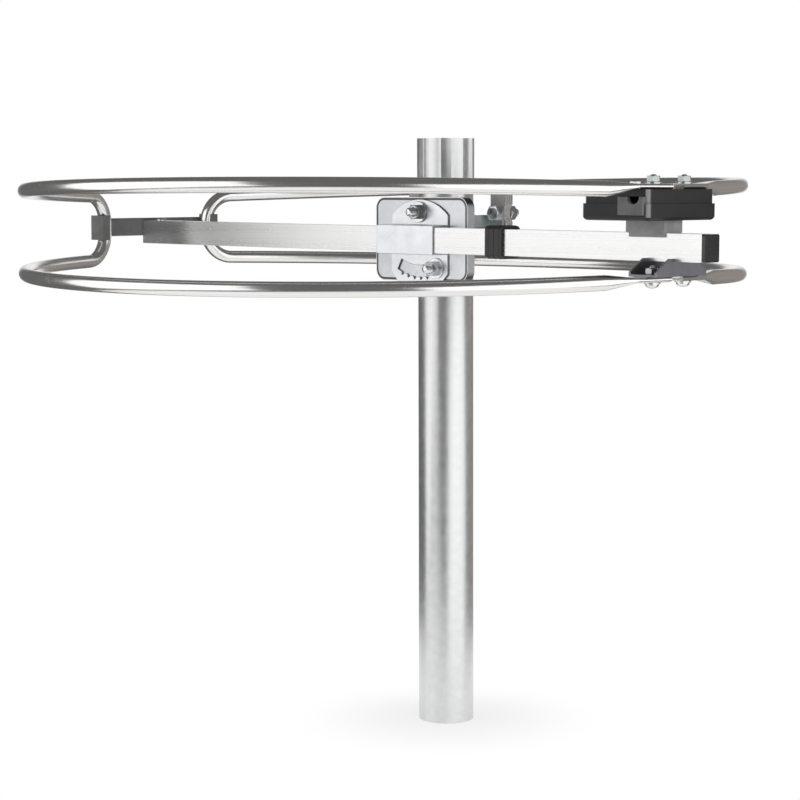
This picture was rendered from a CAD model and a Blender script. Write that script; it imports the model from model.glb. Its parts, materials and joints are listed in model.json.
import json
import math

import bmesh
import bpy
from bpy.props import FloatProperty, FloatVectorProperty, PointerProperty
from mathutils import Matrix, Vector


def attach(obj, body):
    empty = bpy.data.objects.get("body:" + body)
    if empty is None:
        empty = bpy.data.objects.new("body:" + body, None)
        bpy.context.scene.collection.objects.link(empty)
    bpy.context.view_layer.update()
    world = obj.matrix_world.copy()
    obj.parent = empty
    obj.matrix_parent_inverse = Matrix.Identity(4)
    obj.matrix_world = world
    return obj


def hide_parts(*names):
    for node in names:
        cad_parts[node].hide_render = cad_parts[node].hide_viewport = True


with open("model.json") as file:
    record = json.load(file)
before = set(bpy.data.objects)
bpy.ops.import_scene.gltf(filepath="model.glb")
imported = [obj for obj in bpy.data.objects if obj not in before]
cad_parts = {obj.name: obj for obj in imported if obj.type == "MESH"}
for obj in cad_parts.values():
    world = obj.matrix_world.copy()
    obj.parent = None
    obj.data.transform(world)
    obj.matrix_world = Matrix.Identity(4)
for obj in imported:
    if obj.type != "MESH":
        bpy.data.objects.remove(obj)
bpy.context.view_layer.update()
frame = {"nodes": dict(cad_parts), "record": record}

bl_info = {
    "name": "Ring dipole antenna",
    "version": (1, 0, 0),
    "blender": (4, 5, 0),
    "location": "View3D > Sidebar > Antenna",
    "description": "Dresses a ring-shaped folded dipole on its mast clamp and sets the studio",
    "category": "Object",
}


# Node wrappers: expressions on sockets add their own Math nodes.

class Wire:
    """A value socket that takes part in arithmetic."""

    def __init__(self, tree, socket):
        self.tree = tree
        self.socket = socket

    def _math(self, operation, *values):
        return self.tree.math(operation, *values)

    def __add__(self, other):
        return self._math("ADD", self, other)

    __radd__ = __add__

    def __mul__(self, other):
        return self._math("MULTIPLY", self, other)

    __rmul__ = __mul__

    def __sub__(self, other):
        return self._math("SUBTRACT", self, other)

    def __rsub__(self, other):
        return self._math("SUBTRACT", other, self)

    def __truediv__(self, other):
        return self._math("DIVIDE", self, other)

    def __pow__(self, other):
        return self._math("POWER", self, other)


class Tree:
    """A node tree with one method for every kind of node."""

    def __init__(self, tree):
        self.nodes = tree.nodes
        self.links = tree.links
        self.nodes.clear()

    def node(self, kind, settings=None, **sockets):
        made = self.nodes.new(kind)
        for name, value in (settings or {}).items():
            setattr(made, name, value)
        for name, value in sockets.items():
            self.plug(made.inputs[name.replace("_", " ")], value)
        return made

    def plug(self, socket, value):
        if isinstance(value, Wire):
            self.links.new(value.socket, socket)
        elif isinstance(value, bpy.types.NodeSocket):
            self.links.new(value, socket)
        else:
            socket.default_value = value

    def math(self, operation, *values):
        made = self.nodes.new("ShaderNodeMath")
        made.operation = operation
        for socket, value in zip(made.inputs, values):
            self.plug(socket, value)
        return Wire(self, made.outputs[0])

    def wire(self, made, output=0):
        return Wire(self, made.outputs[output])

    def vector(self, operation, *values):
        made = self.nodes.new("ShaderNodeVectorMath")
        made.operation = operation
        for socket, value in zip(made.inputs, values):
            self.plug(socket, value)
        return made.outputs["Value" if operation in ("LENGTH", "DOT_PRODUCT") else "Vector"]

    def mix(self, factor, low, high, blend="MIX"):
        made = self.nodes.new("ShaderNodeMix")
        made.data_type = "RGBA"
        made.blend_type = blend
        self.plug(made.inputs[0], factor)
        for socket, value in ((made.inputs[6], low), (made.inputs[7], high)):
            if not isinstance(value, (Wire, bpy.types.NodeSocket)):
                value = (*value, 1.0)
            self.plug(socket, value)
        return made.outputs[2]

    def spread(self, value, low, high, to_low=0.0, to_high=1.0):
        """A smooth step from to_low to to_high while the value goes from low to high."""
        made = self.node("ShaderNodeMapRange", {"interpolation_type": "SMOOTHSTEP"}, Value=value,
                         From_Min=low, From_Max=high, To_Min=to_low, To_Max=to_high)
        return self.wire(made)

    def noise(self, place, scale, detail=3.0, roughness=0.5, distortion=0.0):
        made = self.node("ShaderNodeTexNoise", {"noise_dimensions": "3D"}, Vector=place,
                         Scale=scale, Detail=detail, Roughness=roughness, Distortion=distortion)
        return self.wire(made)

    def cells(self, place, scale):
        return self.wire(self.node("ShaderNodeTexVoronoi", None, Vector=place, Scale=scale))

    def seen_and_glossy(self):
        """Wires that are 1 for rays from the camera or through glass, and for reflections."""
        path = self.nodes.new("ShaderNodeLightPath")
        seen = self.math("MAXIMUM", path.outputs["Is Camera Ray"],
                         path.outputs["Is Transmission Ray"])
        return seen, self.wire(path, "Is Glossy Ray")


class Finish(Tree):
    """A material with one Principled shader, whose patterns read object coordinates."""

    def __init__(self, name, metal=0.0):
        self.material = bpy.data.materials.new(name)
        self.material.use_nodes = True
        super().__init__(self.material.node_tree)
        self.shader = self.node("ShaderNodeBsdfPrincipled")
        self.out = self.nodes.new("ShaderNodeOutputMaterial")
        self.links.new(self.shader.outputs[0], self.out.inputs[0])
        where = self.nodes.new("ShaderNodeTexCoord")
        self.place, self.facing = where.outputs["Object"], where.outputs["Normal"]
        self.shader.inputs["Metallic"].default_value = metal

    def stretched(self, x, y, z):
        return self.vector("MULTIPLY", self.place, (x, y, z))

    def parts(self, vector):
        made = self.node("ShaderNodeSeparateXYZ", None, Vector=vector)
        return [self.wire(made, i) for i in range(3)]

    def edged(self, base, edge_colour, strength, upright=False):
        """Another colour along the soft edges of a piece whose faces follow the axes.

        A face has one part of its normal near 1, and a soft edge has none.
        """
        x, y, z = (self.math("ABSOLUTE", part) for part in self.parts(self.facing))
        flat = self.math("MAXIMUM", self.math("MAXIMUM", x, y), z)
        edge = self.spread(flat, 0.86, 0.985, strength, 0.0)
        if upright:
            edge = edge * self.spread(z, 0.15, 0.4, 1.0, 0.0)
        return self.mix(edge, base, edge_colour)

    def rim_line(self, base, line_colour, low, high, corner, width):
        """A line along the rolled rim of a rounded plate that spans low to high in X and Z."""
        x, _, z = self.parts(self.place)
        reach = []
        for axis, i in ((x, 0), (z, 2)):
            half = (high[i] - low[i]) / 2 - corner
            reach.append(self.math("ABSOLUTE", axis - (high[i] + low[i]) / 2) - half)
        out = [self.math("MAXIMUM", r, 0.0) for r in reach]
        inside = self.math("MINIMUM", self.math("MAXIMUM", *reach), 0.0)
        depth = corner - inside - (out[0] * out[0] + out[1] * out[1]) ** 0.5
        line = (self.spread(depth, width * 0.15, width * 0.35)
                * self.spread(depth, width * 0.75, width, 1.0, 0.0))
        return self.mix(line * 0.93, base, line_colour)

    def bump(self, height, depth, strength):
        made = self.node("ShaderNodeBump", None, Height=height, Distance=depth,
                         Strength=strength)
        self.plug(self.shader.inputs["Normal"], made.outputs[0])

    def done(self, **sockets):
        for name, value in sockets.items():
            self.plug(self.shader.inputs[name.replace("_", " ")], value)
        return self.material


def tint(colour, factor):
    return tuple(min(1.0, c * factor) for c in colour)


# Finishes take a colour, and those of pressed pieces also one for their soft edges.

def galvanised(colour, name="galvanised steel", rough=0.3, edge=None):
    f = Finish(name, metal=1.0)
    flakes = f.cells(f.stretched(1.0, 1.0, 0.6), 240.0)
    spangle = f.noise(f.place, 170.0, 2.0, 0.45)
    runs = f.noise(f.stretched(120.0, 120.0, 3.0), 1.0, 4.0, 0.6)
    cloud = f.noise(f.stretched(1.0, 1.0, 0.35), 14.0, 3.0)
    shade = f.spread(spangle * 0.35 + runs * 0.4 + cloud * 0.25, 0.3, 0.7)
    base = f.mix(shade, tint(colour, 0.88), tint(colour, 1.06))
    base = f.mix(f.spread(flakes, 0.1, 0.8) * 0.25, base, tint(colour, 0.92))
    if edge:
        base = f.edged(base, edge, 0.8)
    f.bump(spangle * 0.3 + runs * 0.7, 0.00008, 0.35)
    return f.done(Base_Color=base, Roughness=rough + shade * 0.12)


def plated(colour, name, rough=0.24, edge=None, rim=None):
    f = Finish(name, metal=1.0)
    grain = f.noise(f.place, 900.0, 2.0, 0.6)
    cloud = f.noise(f.place, 55.0, 4.0, 0.6, 0.4)
    rub = f.spread(f.noise(f.place, 130.0, 5.0, 0.7), 0.56, 0.72)
    base = f.mix(f.spread(cloud, 0.35, 0.7), tint(colour, 0.92), tint(colour, 1.05))
    base = f.mix(rub * 0.4, base, tint(colour, 0.82))
    if edge:
        base = f.edged(base, edge, 0.9)
    if rim:
        base = f.rim_line(base, edge, *rim)
    f.bump(grain * 0.5 + cloud, 0.00004, 0.4)
    return f.done(Base_Color=base, Roughness=rough + cloud * 0.1 + rub * 0.1)


def drawn_tube(props):
    f = Finish("drawn aluminium tube", metal=1.0)
    centre = (props.ring_centre[0], props.ring_centre[1], 0.0)
    x, y, z = f.parts(f.vector("SUBTRACT", f.place, centre))
    turn = f.math("ARCTAN2", y, x)
    reach = (x * x + y * y) ** 0.5
    # The streaks of the drawing run round the ring, along the tube.
    line = f.node("ShaderNodeCombineXYZ", None, X=turn * 3.0, Y=reach * 900.0,
                  Z=z * 900.0).outputs[0]
    streak = f.noise(line, 1.0, 4.0, 0.65)
    cloud = f.noise(f.place, 22.0, 3.0)
    scuff = f.spread(f.noise(f.place, 75.0, 5.0, 0.75), 0.58, 0.75)
    colour = props.tube_colour
    base = f.mix(f.spread(streak, 0.35, 0.65), tint(colour, 0.95), tint(colour, 1.03))
    base = f.mix(scuff * 0.3, base, tint(colour, 0.86))
    f.bump(streak, 0.00003, 0.3)
    return f.done(Base_Color=base,
                  Roughness=0.13 + streak * 0.08 + scuff * 0.12 + cloud * 0.05)


def extruded_bar(colour):
    f = Finish("extruded aluminium", metal=1.0)
    line = f.noise(f.stretched(2.5, 1600.0, 1600.0), 1.0, 3.0, 0.6)
    broad = f.noise(f.stretched(1.2, 160.0, 160.0), 1.0, 3.0, 0.55)
    scuff = f.spread(f.noise(f.place, 90.0, 5.0, 0.75), 0.6, 0.76)
    base = f.mix(f.spread(line * 0.5 + broad * 0.5, 0.35, 0.65), tint(colour, 0.95),
                 tint(colour, 1.03))
    base = f.mix(scuff * 0.3, base, tint(colour, 0.86))
    base = f.edged(base, tint(colour, 0.1), 0.9)
    f.bump(line, 0.00004, 0.35)
    return f.done(Base_Color=base, Roughness=0.24 + broad * 0.08 + scuff * 0.12)


def moulded(colour, name, rough, coat=0.0, rim=2.2, shine=0.5):
    f = Finish(name)
    pits = f.noise(f.place, 2600.0, 2.0, 0.6)
    cloud = f.noise(f.place, 40.0, 4.0, 0.6)
    flow = f.noise(f.stretched(1.0, 0.3, 1.0), 120.0, 3.0, 0.5)
    wear = f.spread(f.noise(f.place, 160.0, 6.0, 0.75), 0.62, 0.78)
    base = f.mix(f.spread(cloud * 0.6 + flow * 0.4, 0.35, 0.65), tint(colour, 0.85),
                 tint(colour, 1.2))
    base = f.mix(wear * 0.35, base, tint(colour, 1.9))
    base = f.edged(base, tint(colour, rim), 0.8, upright=True)
    f.bump(pits, 0.00005, 0.5)
    f.shader.inputs["Coat Roughness"].default_value = 0.12
    f.shader.inputs["Specular IOR Level"].default_value = shine
    f.shader.inputs["Coat Weight"].default_value = coat
    return f.done(Base_Color=base, Roughness=rough + cloud * 0.1 + wear * 0.1)


def cast_metal(colour):
    f = Finish("cast jaw metal", metal=0.4)
    sand = f.noise(f.place, 1500.0, 4.0, 0.7)
    lump = f.noise(f.place, 320.0, 3.0, 0.6)
    rub = f.spread(f.noise(f.place, 240.0, 4.0, 0.7), 0.55, 0.75)
    base = f.mix(f.spread(sand, 0.35, 0.7), tint(colour, 0.75), tint(colour, 1.35))
    base = f.mix(rub * 0.5, base, tint(colour, 2.1))
    f.bump(sand * 0.5 + lump, 0.00025, 0.6)
    return f.done(Base_Color=base, Roughness=0.46 + sand * 0.16)


def circuit_board():
    f = Finish("circuit board")
    weave = f.noise(f.stretched(1.0, 1.0, 0.1), 900.0, 2.0)
    copper = f.spread(f.noise(f.stretched(1.0, 0.4, 1.0), 120.0, 1.0), 0.5, 0.54)
    base = f.mix(weave, (0.05, 0.16, 0.05), (0.09, 0.23, 0.08))
    base = f.mix(copper * 0.8, base, (0.13, 0.3, 0.1))
    f.bump(copper, 0.00005, 0.5)
    return f.done(Base_Color=base, Roughness=0.32 + weave * 0.1)


# Making pieces.

def linked(name, bm, material):
    """Puts a bmesh into the scene as an object and frees it."""
    mesh = bpy.data.meshes.new(name)
    bm.to_mesh(mesh)
    bm.free()
    mesh.materials.append(material)
    made = bpy.data.objects.new(name, mesh)
    bpy.context.scene.collection.objects.link(made)
    return made


MERGE = 2e-6        # vertices of a CAD node closer than this are one
SLIVER = 5e-6       # faces thinner than this are dissolved
SMOOTH = 30.0       # degrees below which faces shade as one surface


def link_piece(node, bm, material, smooth=SMOOTH):
    """Makes a bmesh the finished piece that stands for a CAD node and rides on its body."""
    bmesh.ops.remove_doubles(bm, verts=bm.verts, dist=MERGE / 2)
    limit = math.radians(smooth)
    for face in bm.faces:
        face.smooth = True
    for edge in bm.edges:
        edge.smooth = edge.is_manifold and edge.calc_face_angle() < limit
    piece = linked("finished_" + node, bm, material)
    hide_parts(node)
    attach(piece, body_of[node])
    return piece


def merged_copy(node):
    """The mesh of a CAD node with its loose triangles joined."""
    bm = bmesh.new()
    bm.from_mesh(frame["nodes"][node].data)
    bmesh.ops.remove_doubles(bm, verts=bm.verts, dist=MERGE)
    return bm


def dressed_copy(node, material, bevel=0.0, smooth=SMOOTH, flat=0.4):
    """A merged copy of a CAD node with soft edges; faces within flat degrees are joined."""
    bm = merged_copy(node)
    bmesh.ops.dissolve_limit(bm, angle_limit=math.radians(flat), verts=bm.verts, edges=bm.edges)
    bmesh.ops.dissolve_degenerate(bm, dist=SLIVER, edges=bm.edges)
    piece = link_piece(node, bm, material, smooth)
    if bevel:
        soft = piece.modifiers.new("soft edges", "BEVEL")
        soft.width = bevel
        soft.segments = 2
        soft.limit_method = "ANGLE"
        soft.angle_limit = math.radians(smooth)
        soft.harden_normals = True
        soft.use_clamp_overlap = True


def solid_boxes(node):
    """Lowest and highest corner of each solid of a CAD node."""
    bm = merged_copy(node)
    left = set(bm.verts)
    boxes = []
    while left:
        stack = [left.pop()]
        places = []
        while stack:
            vert = stack.pop()
            places.append(vert.co.copy())
            near = {edge.other_vert(vert) for edge in vert.link_edges} & left
            left -= near
            stack.extend(near)
        boxes.append((Vector([min(p[i] for p in places) for i in range(3)]),
                      Vector([max(p[i] for p in places) for i in range(3)])))
    bm.free()
    return boxes


def turned(profile, steps=48, ring=False):
    """A body spun about Z from (radius, height) pairs; a ring's outline is closed."""
    part = bmesh.new()
    verts = [part.verts.new((radius, 0.0, height)) for radius, height in profile]
    pairs = list(zip(verts, verts[1:]))
    if ring:
        pairs.append((verts[-1], verts[0]))
    edges = [part.edges.new(pair) for pair in pairs]
    bmesh.ops.spin(part, geom=verts + edges, axis=(0, 0, 1), cent=(0, 0, 0), angle=math.tau,
                   steps=steps, use_merge=True)
    bmesh.ops.remove_doubles(part, verts=part.verts, dist=1e-7)
    bmesh.ops.recalc_face_normals(part, faces=part.faces)
    return part


def everything(part):
    return part.verts[:] + part.edges[:] + part.faces[:]


def cut_flats(part, across):
    """Cuts six flats round a turned body, which leaves the curved chamfers of a real nut."""
    for k in range(6):
        turn = math.radians(30 + 60 * k)
        way = Vector((math.cos(turn), math.sin(turn), 0.0))
        cut = bmesh.ops.bisect_plane(part, geom=everything(part), plane_co=way * across / 2,
                                     plane_no=way, clear_outer=True)
        rim = [edge for edge in cut["geom_cut"] if isinstance(edge, bmesh.types.BMEdge)]
        bmesh.ops.edgeloop_fill(part, edges=rim)
    bmesh.ops.recalc_face_normals(part, faces=part.faces)
    return part


def join_part(target, part, where):
    """Adds a part to another bmesh at its place and frees it."""
    bmesh.ops.transform(part, matrix=where, verts=part.verts)
    mesh = bpy.data.meshes.new("part")
    part.to_mesh(mesh)
    part.free()
    target.from_mesh(mesh)
    bpy.data.meshes.remove(mesh)


def hex_corners(across):
    """Radius just past the corners, height of the chamfer and radius of the bearing face."""
    return across / math.sqrt(3) + 0.0001, across * 0.07, across * 0.47


def hex_nut(across, height, bore):
    wide, lead, face = hex_corners(across)
    lip = 0.0004
    outline = [(bore, lip), (bore + lip, 0), (face, 0), (wide, lead), (wide, height - lead),
               (face, height), (bore + lip, height), (bore, height - lip)]
    return cut_flats(turned(outline, 60, True), across)


def washer(radius, bore, height):
    edge = min(0.0003, height * 0.3)
    return turned([(bore, edge), (bore + edge, 0), (radius - edge, 0), (radius, edge),
                   (radius, height - edge), (radius - edge, height), (bore + edge, height),
                   (bore, height - edge)], 56, True)


def hex_head(across, height):
    wide, lead, face = hex_corners(across)
    outline = [(0, 0), (across * 0.4, 0), (face, 0.0002), (wide, lead), (wide, height),
               (0, height)]
    return cut_flats(turned(outline, 60), across)


def round_head(radius, height, recess=0.0):
    """A low dome that stands on its crown, with a cross recess in it."""
    crown = [(radius * math.sin(math.radians(a)), height * (1 - math.cos(math.radians(a))) * 0.8)
             for a in (0, 24, 40, 55, 70, 82, 90)]
    part = turned(crown + [(radius, height), (0, height)], 48)
    if recess:
        arm, half = radius * 0.55, radius * 0.12
        for at in (-arm, -half, half, arm):
            for way in ((1, 0, 0), (0, 1, 0)):
                bmesh.ops.bisect_plane(part, geom=everything(part),
                                       plane_co=Vector(way) * at, plane_no=way)
        cross = []
        for face in part.faces:
            x, y, z = face.calc_center_median()
            low, high = sorted((abs(x), abs(y)))
            if face.normal.z < -0.3 and low < half and high < arm:
                cross.append(face)
        sunk = bmesh.ops.extrude_face_region(part, geom=cross)
        bmesh.ops.translate(part, vec=(0, 0, recess),
                            verts=[v for v in sunk["geom"] if isinstance(v, bmesh.types.BMVert)])
        bmesh.ops.delete(part, geom=cross, context="FACES")
        bmesh.ops.recalc_face_normals(part, faces=part.faces)
    return part


def shank(radius, start, thread_from, end, pitch, steps=36):
    """A bolt's shank with a rounded tip, threaded from one height to its end."""
    root, tip = radius - pitch * 0.55, 0.0009
    points = [(0, start), (radius, start)]
    if thread_from > start:
        points.append((radius, thread_from))
    height = max(start, thread_from) + pitch * 0.2
    while height + pitch < end - tip:
        points += [(root, height), (radius, height + pitch * 0.42),
                   (radius, height + pitch * 0.58)]
        height += pitch
    points += [(root, height), (root, end - tip), (root * 0.8, end - tip * 0.35),
               (root * 0.45, end - tip * 0.08), (0, end)]
    return turned(points, steps)


def standing(low, high, turn):
    """Where a part that stands on Z = 0 goes, so that it fills a solid's box along its way."""
    way = turn.to_3x3() @ Vector((0, 0, 1))
    along = max(range(3), key=lambda i: abs(way[i]))
    base = (low + high) / 2 - way * (high[along] - low[along]) / 2
    return Matrix.Translation(base) @ turn


def made_fasteners(node, material, turn, make):
    """One piece for a node, whose solids are each made anew in their boxes."""
    bm = bmesh.new()
    for low, high in solid_boxes(node):
        where = standing(low, high, turn)
        size = high - low
        along = max(range(3), key=lambda i: abs(where.to_3x3().col[2][i]))
        narrow, wide = sorted(size[i] for i in range(3) if i != along)
        for part in make(size[along], narrow, wide):
            join_part(bm, part, where)
    link_piece(node, bm, material)


SAG = math.radians(0.45)        # the boom hangs this much towards the feed box
TO_FRONT = Matrix.Rotation(math.pi / 2, 4, "X")
TO_BACK = Matrix.Rotation(-math.pi / 2, 4, "X")
UP_BOOM = Matrix.Rotation(SAG, 4, "Y")
DOWN_BOOM = Matrix.Rotation(SAG, 4, "Y") @ Matrix.Rotation(math.pi, 4, "X")

body_of = {node: body for body, nodes in frame["record"]["behaviour"]["bodies"].items()
           for node in nodes}


# Sizes, colours and studio settings that a user may change.

def colour_of(name, what, value):
    return FloatVectorProperty(name=name, description="Colour of " + what, subtype="COLOR",
                               default=value, min=0.0, max=1.0)


def share_of(name, what, value, most=1.0):
    return FloatProperty(name=name, description=what, subtype="FACTOR", default=value, min=0.0,
                         max=most)


def angle_of(name, what, value):
    return FloatProperty(name=name, description=what, default=value, subtype="ANGLE",
                         unit="ROTATION")


def length_of(name, what, value, least, most):
    return FloatProperty(name=name, description=what, unit="LENGTH", default=value, min=least,
                         max=most)


class AntennaFinishes(bpy.types.PropertyGroup):
    ring_centre: FloatVectorProperty(
        name="Ring centre", description="Centre of the loops", size=3,
        default=(-0.0295, -0.03445, 0.353), subtype="TRANSLATION", unit="LENGTH")
    tube_colour: colour_of("Tubes", "the polished dipole tubes", (0.90, 0.885, 0.86))
    mast_colour: colour_of("Mast", "the galvanised mast", (0.86, 0.865, 0.87))
    boom_colour: colour_of("Boom", "the extruded boom", (0.90, 0.90, 0.895))
    zinc_colour: colour_of("Zinc", "the bright zinc pressings", (0.76, 0.775, 0.80))
    arm_colour: colour_of("Passivated zinc", "the greenish zinc pieces", (0.58, 0.64, 0.63))
    steel_colour: colour_of("Fasteners", "bright bolts, nuts and washers", (0.86, 0.865, 0.87))
    bracket_colour: colour_of("Joint bracket", "the lower joint bracket", (0.27, 0.262, 0.285))
    jaw_colour: colour_of("Jaw", "the cast rear jaw", (0.42, 0.41, 0.40))
    box_colour: colour_of("Feed box", "the feed box", (0.018, 0.018, 0.018))
    inlet_colour: colour_of("Cable inlet", "the inlet cradle", (0.125, 0.124, 0.122))
    spacer_colour: colour_of("Spacer", "the gap spacer", (0.135, 0.134, 0.133))
    cap_colour: colour_of("Cap and clip", "the end cap and the cable clip", (0.012, 0.011, 0.011))


class AntennaSizes(bpy.types.PropertyGroup):
    soft_edge: length_of("Soft edge", "Radius along pressed and moulded edges", 0.00035, 0.0,
                         0.001)
    thread_pitch: length_of("Thread pitch", "Pitch of the clamp bolts' threads", 0.001, 0.0005,
                            0.002)
    clamp_bolt: length_of("Clamp bolts", "Shank radius of the clamp's bolts", 0.003, 0.002,
                          0.004)
    tube_bolt: length_of("Tube bolts", "Shank radius of the tube ends' bolts", 0.0025, 0.0015,
                         0.003)


class AntennaStage(bpy.types.PropertyGroup):
    camera_place: FloatVectorProperty(
        name="Camera", description="Place of the camera", size=3, subtype="TRANSLATION",
        unit="LENGTH", default=(1.090572, -1.201089, 0.390862))
    heading: angle_of("Heading", "Turn of the camera about the vertical", 0.757838)
    pitch: angle_of("Pitch", "Downward tilt of the camera", 0.095438)
    roll: angle_of("Roll", "Turn of the camera about its view", 0.002994)
    focal: FloatProperty(
        name="Focal length", description="Focal length on a 36 mm sensor", default=100.535,
        min=20.0, max=300.0, subtype="DISTANCE_CAMERA")
    softbox_glow: share_of("Softboxes", "Brightness of the two softboxes' faces", 1.1, 5.0)
    room_grey: share_of("Room", "Brightness of the room that fills the shadows", 0.55)
    flag_grey: share_of("Flags", "Brightness of the dark flags that metal reflects", 0.125)
    table_radius: length_of("Table", "Radius of the white table", 0.62, 0.3, 2.0)
    shadow_keep: share_of("Shadow", "How much of the shadow at the mast's foot stays", 0.25)


class AntennaPiece:
    """Shared settings of the operators."""

    bl_options = {"REGISTER", "UNDO"}

    def setup(self, context):
        self.finish = context.scene.antenna_finishes
        self.sizes = context.scene.antenna_sizes


class OBJECT_OT_antenna_mast(AntennaPiece, bpy.types.Operator):
    """Finish the galvanised mast piece with its fluted top"""
    bl_idname = "object.antenna_mast"
    bl_label = "Mast"

    def execute(self, context):
        self.setup(context)
        dressed_copy("mast_tube", galvanised(self.finish.mast_colour), smooth=28.0)
        return {"FINISHED"}


class OBJECT_OT_antenna_tubes(AntennaPiece, bpy.types.Operator):
    """Finish the two bent tubes of the folded dipole"""
    bl_idname = "object.antenna_tubes"
    bl_label = "Dipole tubes"

    def execute(self, context):
        self.setup(context)
        aluminium = drawn_tube(self.finish)
        for node in ("half_loop_front", "half_loop_rear"):
            dressed_copy(node, aluminium, smooth=40.0, flat=0.05)
        return {"FINISHED"}


class OBJECT_OT_antenna_boom(AntennaPiece, bpy.types.Operator):
    """Finish the square boom, its end cap and the cable clip"""
    bl_idname = "object.antenna_boom"
    bl_label = "Boom"

    def execute(self, context):
        self.setup(context)
        edge = self.sizes.soft_edge
        dressed_copy("boom_tube", extruded_bar(self.finish.boom_colour), bevel=edge * 3.0)
        black = moulded(self.finish.cap_colour, "glossy black plastic", rough=0.14, coat=0.5)
        dressed_copy("boom_end_cap", black, bevel=edge)
        clip = moulded(tint(self.finish.cap_colour, 2.2), "black clip plastic", rough=0.34)
        dressed_copy("cable_clip", clip, bevel=edge)
        return {"FINISHED"}


PLATE_CORNER = 0.008        # corner radius of the clamp plate
RIM_LINE = 0.0024           # width of its rolled rim


class OBJECT_OT_antenna_clamp(AntennaPiece, bpy.types.Operator):
    """Finish the clamp plate, its arms, the boom saddle and the rear jaw"""
    bl_idname = "object.antenna_clamp"
    bl_label = "Clamp"

    def execute(self, context):
        self.setup(context)
        edge = self.sizes.soft_edge
        outline = tint(self.finish.zinc_colour, 0.05)
        (low, high), = solid_boxes("clamp_plate")
        zinc = plated(self.finish.zinc_colour, "bright zinc", rough=0.3, edge=outline,
                      rim=(low, high, PLATE_CORNER, RIM_LINE))
        crown = plated(tint(self.finish.zinc_colour, 1.16), "bright saddle zinc", rough=0.26,
                       edge=outline)
        green = plated(self.finish.arm_colour, "passivated zinc", rough=0.28)
        dressed_copy("clamp_plate", zinc, bevel=edge * 2.6)
        dressed_copy("boom_saddle", crown, bevel=edge * 2.8)
        dressed_copy("clamp_arm_left", green, bevel=edge)
        dressed_copy("clamp_arm_right", green, bevel=edge)
        dressed_copy("rear_jaw", cast_metal(self.finish.jaw_colour), bevel=edge)
        return {"FINISHED"}


# Heights of the heads, from the crown to the face that bears, in metres.
PLATE_HEAD = 0.0015
JAW_HEAD = 0.004
TUBE_HEAD = 0.003
JOINT_HEAD = 0.003
LID_HEAD = 0.004
FLANGE = 0.001
SINK = 0.0002               # a shank starts this far inside its head
PLATE_THREAD = 0.0045       # where the threads start, from the crown
JAW_THREAD = 0.0132
LID_THREAD = 0.007
FINE_PITCH = 0.0008         # pitch of the small screws' threads
SLACK = 0.00005             # how much wider a nut's or washer's bore is than its bolt


def plate_head(radius):
    """The flat round head of the two bolts that stand in the clamp plate."""
    return turned([(0, 0), (radius - 0.0005, 0), (radius, 0.0004),
                   (radius, PLATE_HEAD - 0.0003), (radius - 0.0003, PLATE_HEAD),
                   (0, PLATE_HEAD)])


def lid_flange(radius=0.0045):
    low, high = LID_HEAD - SINK, LID_HEAD + FLANGE
    return turned([(0, low), (radius - 0.0004, low), (radius, low + 0.0004),
                   (radius, high - SINK), (radius - SINK, high), (0, high)])


def nut(bore):
    return lambda high, narrow, wide: [hex_nut(narrow, high, bore)]


def ring(bore):
    return lambda high, narrow, wide: [washer(wide / 2, bore, high)]


def cross_screw(radius, head, thin, plain=0.0):
    """A round-headed screw with a shank of radius thin that is plain below its head."""
    return lambda high, narrow, wide: [
        round_head(radius, head, head * 0.45),
        shank(thin, head - SINK, head + plain, high, FINE_PITCH)]


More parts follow.
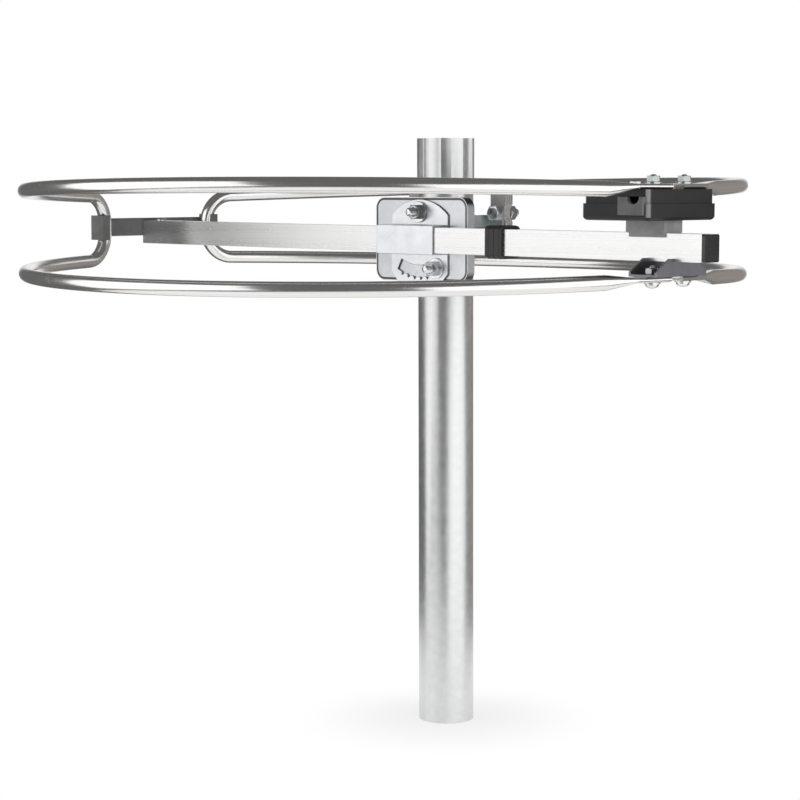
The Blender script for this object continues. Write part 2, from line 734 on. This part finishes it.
class OBJECT_OT_antenna_fasteners(AntennaPiece, bpy.types.Operator):
    """Turn the bolts, nuts, washers and screws with their threads and chamfers"""
    bl_idname = "object.antenna_fasteners"
    bl_label = "Fasteners"

    def execute(self, context):
        self.setup(context)
        steel = plated(self.finish.steel_colour, "bright fasteners", rough=0.16)
        grey = plated(tint(self.finish.arm_colour, 0.85), "passivated fasteners", rough=0.18)
        pitch, big, small = (self.sizes.thread_pitch, self.sizes.clamp_bolt,
                             self.sizes.tube_bolt)

        def plate_bolt(high, narrow, wide):
            return [plate_head(wide / 2),
                    shank(big, PLATE_HEAD - SINK, PLATE_THREAD, high, pitch)]

        def jaw_bolt(high, narrow, wide):
            return [hex_head(narrow, JAW_HEAD),
                    shank(big, JAW_HEAD - SINK, JAW_THREAD, high, pitch)]

        def tube_bolt(high, narrow, wide):
            return [hex_head(narrow, TUBE_HEAD),
                    shank(small, TUBE_HEAD - SINK, 0.0, high, pitch * 0.8)]

        def joint_bolt(high, narrow, wide):
            under = washer(wide / 2, small, FLANGE)
            bmesh.ops.translate(under, vec=(0, 0, JOINT_HEAD), verts=under.verts)
            return [round_head(0.0045, JOINT_HEAD + SINK / 2), under,
                    shank(small, JOINT_HEAD - SINK / 2, 0.0, high, pitch * 0.8)]

        def lid_screw(high, narrow, wide):
            return [hex_head(0.007, LID_HEAD), lid_flange(),
                    shank(0.002, LID_HEAD + FLANGE - SINK, LID_THREAD, high, FINE_PITCH)]

        for material, turn, make, nodes in (
                (steel, TO_FRONT, plate_bolt, ("pivot_bolt", "slot_bolt")),
                (grey, TO_FRONT, nut(big + SLACK), ("pivot_nut", "slot_nut")),
                (steel, TO_FRONT, ring(big + SLACK), ("pivot_washer", "slot_washer")),
                (steel, TO_BACK, jaw_bolt, ("jaw_bolts",)),
                (steel, TO_BACK, ring(big + SLACK * 1.4), ("jaw_washers",)),
                (steel, TO_BACK, nut(big + SLACK * 1.4), ("jaw_nuts",)),
                (steel, UP_BOOM, tube_bolt, ("terminal_bolts",)),
                (steel, UP_BOOM, ring(small + SLACK), ("terminal_washers",)),
                (grey, UP_BOOM, nut(small + SLACK), ("terminal_nuts",)),
                (steel, UP_BOOM, joint_bolt, ("joint_bolts",)),
                (grey, UP_BOOM, nut(small + SLACK), ("joint_nuts",)),
                (steel, DOWN_BOOM, lid_screw, ("lid_screw",)),
                (steel, DOWN_BOOM, cross_screw(radius=0.0035, head=0.002, thin=0.00175),
                 ("pedestal_screws",)),
                (steel, DOWN_BOOM, cross_screw(radius=0.004, head=0.0023, thin=0.002),
                 ("spacer_screw",)),
                (steel, UP_BOOM, cross_screw(radius=0.0037, head=0.002, thin=0.002, plain=0.0015),
                 ("bracket_screw",))):
            for node in nodes:
                made_fasteners(node, material, turn, make)
        return {"FINISHED"}


class OBJECT_OT_antenna_spacer(AntennaPiece, bpy.types.Operator):
    """Finish the plastic spacer that holds the ring's gap"""
    bl_idname = "object.antenna_spacer"
    bl_label = "Gap spacer"

    def execute(self, context):
        self.setup(context)
        grey = moulded(self.finish.spacer_colour, "spacer plastic", rough=0.46)
        dressed_copy("end_spacer", grey, bevel=self.sizes.soft_edge * 1.2)
        return {"FINISHED"}


class OBJECT_OT_antenna_box(AntennaPiece, bpy.types.Operator):
    """Finish the feed box, its lid, its foot, its cable inlet and what it holds"""
    bl_idname = "object.antenna_box"
    bl_label = "Feed box"

    def execute(self, context):
        self.setup(context)
        edge = self.sizes.soft_edge
        dark = moulded(self.finish.box_colour, "feed box plastic", rough=0.34, rim=18.0, shine=0.32)
        dressed_copy("feed_box_base", dark, bevel=edge * 0.6)
        dressed_copy("feed_box_lid", dark, bevel=edge)
        foot = moulded(tint(self.finish.box_colour, 16.0), "foot plastic", rough=0.44)
        dressed_copy("box_pedestal", foot, bevel=edge)
        inlet = moulded(self.finish.inlet_colour, "inlet plastic", rough=0.5)
        dressed_copy("cable_gland", inlet, bevel=edge)
        dressed_copy("balun_board", circuit_board(), bevel=0.0001)
        ferrite = moulded((0.03, 0.03, 0.034), "ferrite", rough=0.3)
        dressed_copy("balun_core", ferrite, bevel=edge)
        zinc = plated(self.finish.zinc_colour, "clamp zinc")
        dressed_copy("coax_clamp", zinc, bevel=edge)
        return {"FINISHED"}


class OBJECT_OT_antenna_joint(AntennaPiece, bpy.types.Operator):
    """Finish the pressed bracket that joins the lower tube ends"""
    bl_idname = "object.antenna_joint"
    bl_label = "Lower joint"

    def execute(self, context):
        self.setup(context)
        steel = galvanised(self.finish.bracket_colour, "passivated bracket", rough=0.34,
                           edge=tint(self.finish.bracket_colour, 3.4))
        dressed_copy("joint_bracket", steel, bevel=self.sizes.soft_edge)
        return {"FINISHED"}


# Name, centre, width, height, heading and roll of the softboxes, in metres and degrees.
SOFTBOXES = (
    ("left softbox", (-0.282, -0.688, 0.46), 0.84, 0.72, 64.7, 14.0),
    ("right softbox", (0.835, -0.03, 0.33), 1.30, 0.80, 183.0, 9.5),
)
VIEW_AZIMUTH = math.radians(133.4)      # the way that the camera looks, to the backdrop
SIDE_AZIMUTH = math.radians(92)         # the wall that the ring's right end reflects
TABLE_SHIFT = (0.18, -0.26, -0.0005)    # the table reaches further towards the camera
WHITE = (1.0, 1.0, 1.0)
SIDE_WALL = (0.28, 0.26, 0.245)


def cone(degrees):
    """The least dot product with an axis within so many degrees of it."""
    return math.cos(math.radians(degrees))


def level_way(azimuth):
    return (math.cos(azimuth), math.sin(azimuth), 0.0)


class SCENE_OT_antenna_stage(bpy.types.Operator):
    """Set the white studio, its soft lights and the camera"""
    bl_idname = "scene.antenna_stage"
    bl_label = "Studio"
    bl_options = {"REGISTER", "UNDO"}

    def execute(self, context):
        stage = context.scene.antenna_stage
        self.room(context, stage)
        self.table(stage)
        self.softboxes(stage)
        self.camera(context, stage)
        context.scene.view_settings.view_transform = "Standard"
        return {"FINISHED"}

    def room(self, context, stage):
        """A white backdrop for the camera and for reflections, in a grey room with dark flags."""
        world = bpy.data.worlds.new("studio room")
        context.scene.world = world
        world.use_nodes = True
        tree = Tree(world.node_tree)
        seen, glossy = tree.seen_and_glossy()
        view = tree.node("ShaderNodeTexCoord").outputs["Generated"]
        facing = tree.vector("DOT_PRODUCT", view, level_way(VIEW_AZIMUTH))
        aside = tree.vector("DOT_PRODUCT", view, level_way(SIDE_AZIMUTH))
        backdrop = tree.spread(facing, cone(20), cone(12))
        wall = tree.spread(aside, cone(45), 1.0)
        room = tree.mix(glossy, (stage.room_grey,) * 3, (stage.flag_grey,) * 3)
        room = tree.mix(glossy * wall, room, SIDE_WALL)
        colour = tree.mix(tree.math("MAXIMUM", seen, glossy * backdrop), room, WHITE)
        shade = tree.node("ShaderNodeBackground", None, Color=colour, Strength=1.0)
        out = tree.nodes.new("ShaderNodeOutputWorld")
        tree.links.new(shade.outputs[0], out.inputs[0])

    def table(self, stage):
        """A round white table that keeps the soft shadow at the mast's foot."""
        paper = Finish("white paper")
        fibre = paper.noise(paper.place, 60.0, 4.0)
        paper.done(Base_Color=paper.mix(fibre, (0.84,) * 3, (0.86,) * 3), Roughness=0.9)
        seen, glossy = paper.seen_and_glossy()
        away = paper.vector("LENGTH", paper.place)
        shadow = paper.spread(away, 0.02, 0.12, stage.shadow_keep, 0.0)
        glow = paper.node("ShaderNodeEmission", None, Color=(*WHITE, 1.0), Strength=1.0)
        both = paper.node("ShaderNodeMixShader")
        paper.plug(both.inputs[0],
                   paper.math("MAXIMUM", seen, glossy * 0.8) * (1 - shadow))
        paper.links.new(paper.shader.outputs[0], both.inputs[1])
        paper.links.new(glow.outputs[0], both.inputs[2])
        paper.links.new(both.outputs[0], paper.out.inputs[0])
        bm = bmesh.new()
        bmesh.ops.create_circle(bm, cap_ends=True, segments=128, radius=stage.table_radius)
        bmesh.ops.translate(bm, vec=TABLE_SHIFT, verts=bm.verts)
        linked("studio_table", bm, paper.material)

    def softboxes(self, stage):
        for name, place, wide, high, heading, roll in SOFTBOXES:
            data = bpy.data.lights.new(name, "AREA")
            data.shape = "RECTANGLE"
            data.size = wide
            data.size_y = high
            data.energy = stage.softbox_glow * math.pi * wide * high
            lamp = bpy.data.objects.new(name, data)
            bpy.context.scene.collection.objects.link(lamp)
            # A lamp shines along its own -Z, which is turned to the heading.
            lamp.matrix_world = (Matrix.Translation(place)
                                 @ Matrix.Rotation(math.radians(heading - 90), 4, "Z")
                                 @ Matrix.Rotation(math.pi / 2, 4, "X")
                                 @ Matrix.Rotation(math.radians(roll), 4, "Z"))
            lamp.visible_camera = False

    def camera(self, context, stage):
        data = bpy.data.cameras.new("camera")
        data.lens = stage.focal
        data.sensor_width = 36.0
        data.clip_start = 0.05
        data.clip_end = 50.0
        camera = bpy.data.objects.new("camera", data)
        context.scene.collection.objects.link(camera)
        look = (Matrix.Rotation(stage.heading, 4, "Z")
                @ Matrix.Rotation(math.pi / 2 - stage.pitch, 4, "X")
                @ Matrix.Rotation(-stage.roll, 4, "Z"))
        camera.matrix_world = Matrix.Translation(stage.camera_place) @ look
        context.scene.camera = camera


class VIEW3D_PT_antenna(bpy.types.Panel):
    """Lists the antenna's operators and settings"""
    bl_idname = "VIEW3D_PT_antenna"
    bl_label = "Ring dipole antenna"
    bl_space_type = "VIEW_3D"
    bl_region_type = "UI"
    bl_category = "Antenna"

    def draw(self, context):
        layout = self.layout
        for step in STEPS:
            layout.operator(step.bl_idname)
        for group in (context.scene.antenna_finishes, context.scene.antenna_sizes,
                      context.scene.antenna_stage):
            column = layout.column()
            for name in group.__annotations__:
                column.prop(group, name)


STEPS = (
    OBJECT_OT_antenna_mast,
    OBJECT_OT_antenna_tubes,
    OBJECT_OT_antenna_boom,
    OBJECT_OT_antenna_clamp,
    OBJECT_OT_antenna_fasteners,
    OBJECT_OT_antenna_spacer,
    OBJECT_OT_antenna_box,
    OBJECT_OT_antenna_joint,
    SCENE_OT_antenna_stage,
)
CLASSES = (AntennaFinishes, AntennaSizes, AntennaStage, *STEPS, VIEW3D_PT_antenna)


def register():
    for cls in CLASSES:
        bpy.utils.register_class(cls)
    bpy.types.Scene.antenna_finishes = PointerProperty(type=AntennaFinishes)
    bpy.types.Scene.antenna_sizes = PointerProperty(type=AntennaSizes)
    bpy.types.Scene.antenna_stage = PointerProperty(type=AntennaStage)


def unregister():
    del bpy.types.Scene.antenna_stage
    del bpy.types.Scene.antenna_sizes
    del bpy.types.Scene.antenna_finishes
    for cls in reversed(CLASSES):
        bpy.utils.unregister_class(cls)


def main():
    register()
    bpy.ops.object.antenna_mast()
    bpy.ops.object.antenna_tubes()
    bpy.ops.object.antenna_boom()
    bpy.ops.object.antenna_clamp()
    bpy.ops.object.antenna_fasteners()
    bpy.ops.object.antenna_spacer()
    bpy.ops.object.antenna_box()
    bpy.ops.object.antenna_joint()
    bpy.ops.scene.antenna_stage()
    bpy.context.view_layer.update()


if __name__ == "__main__":
    main()
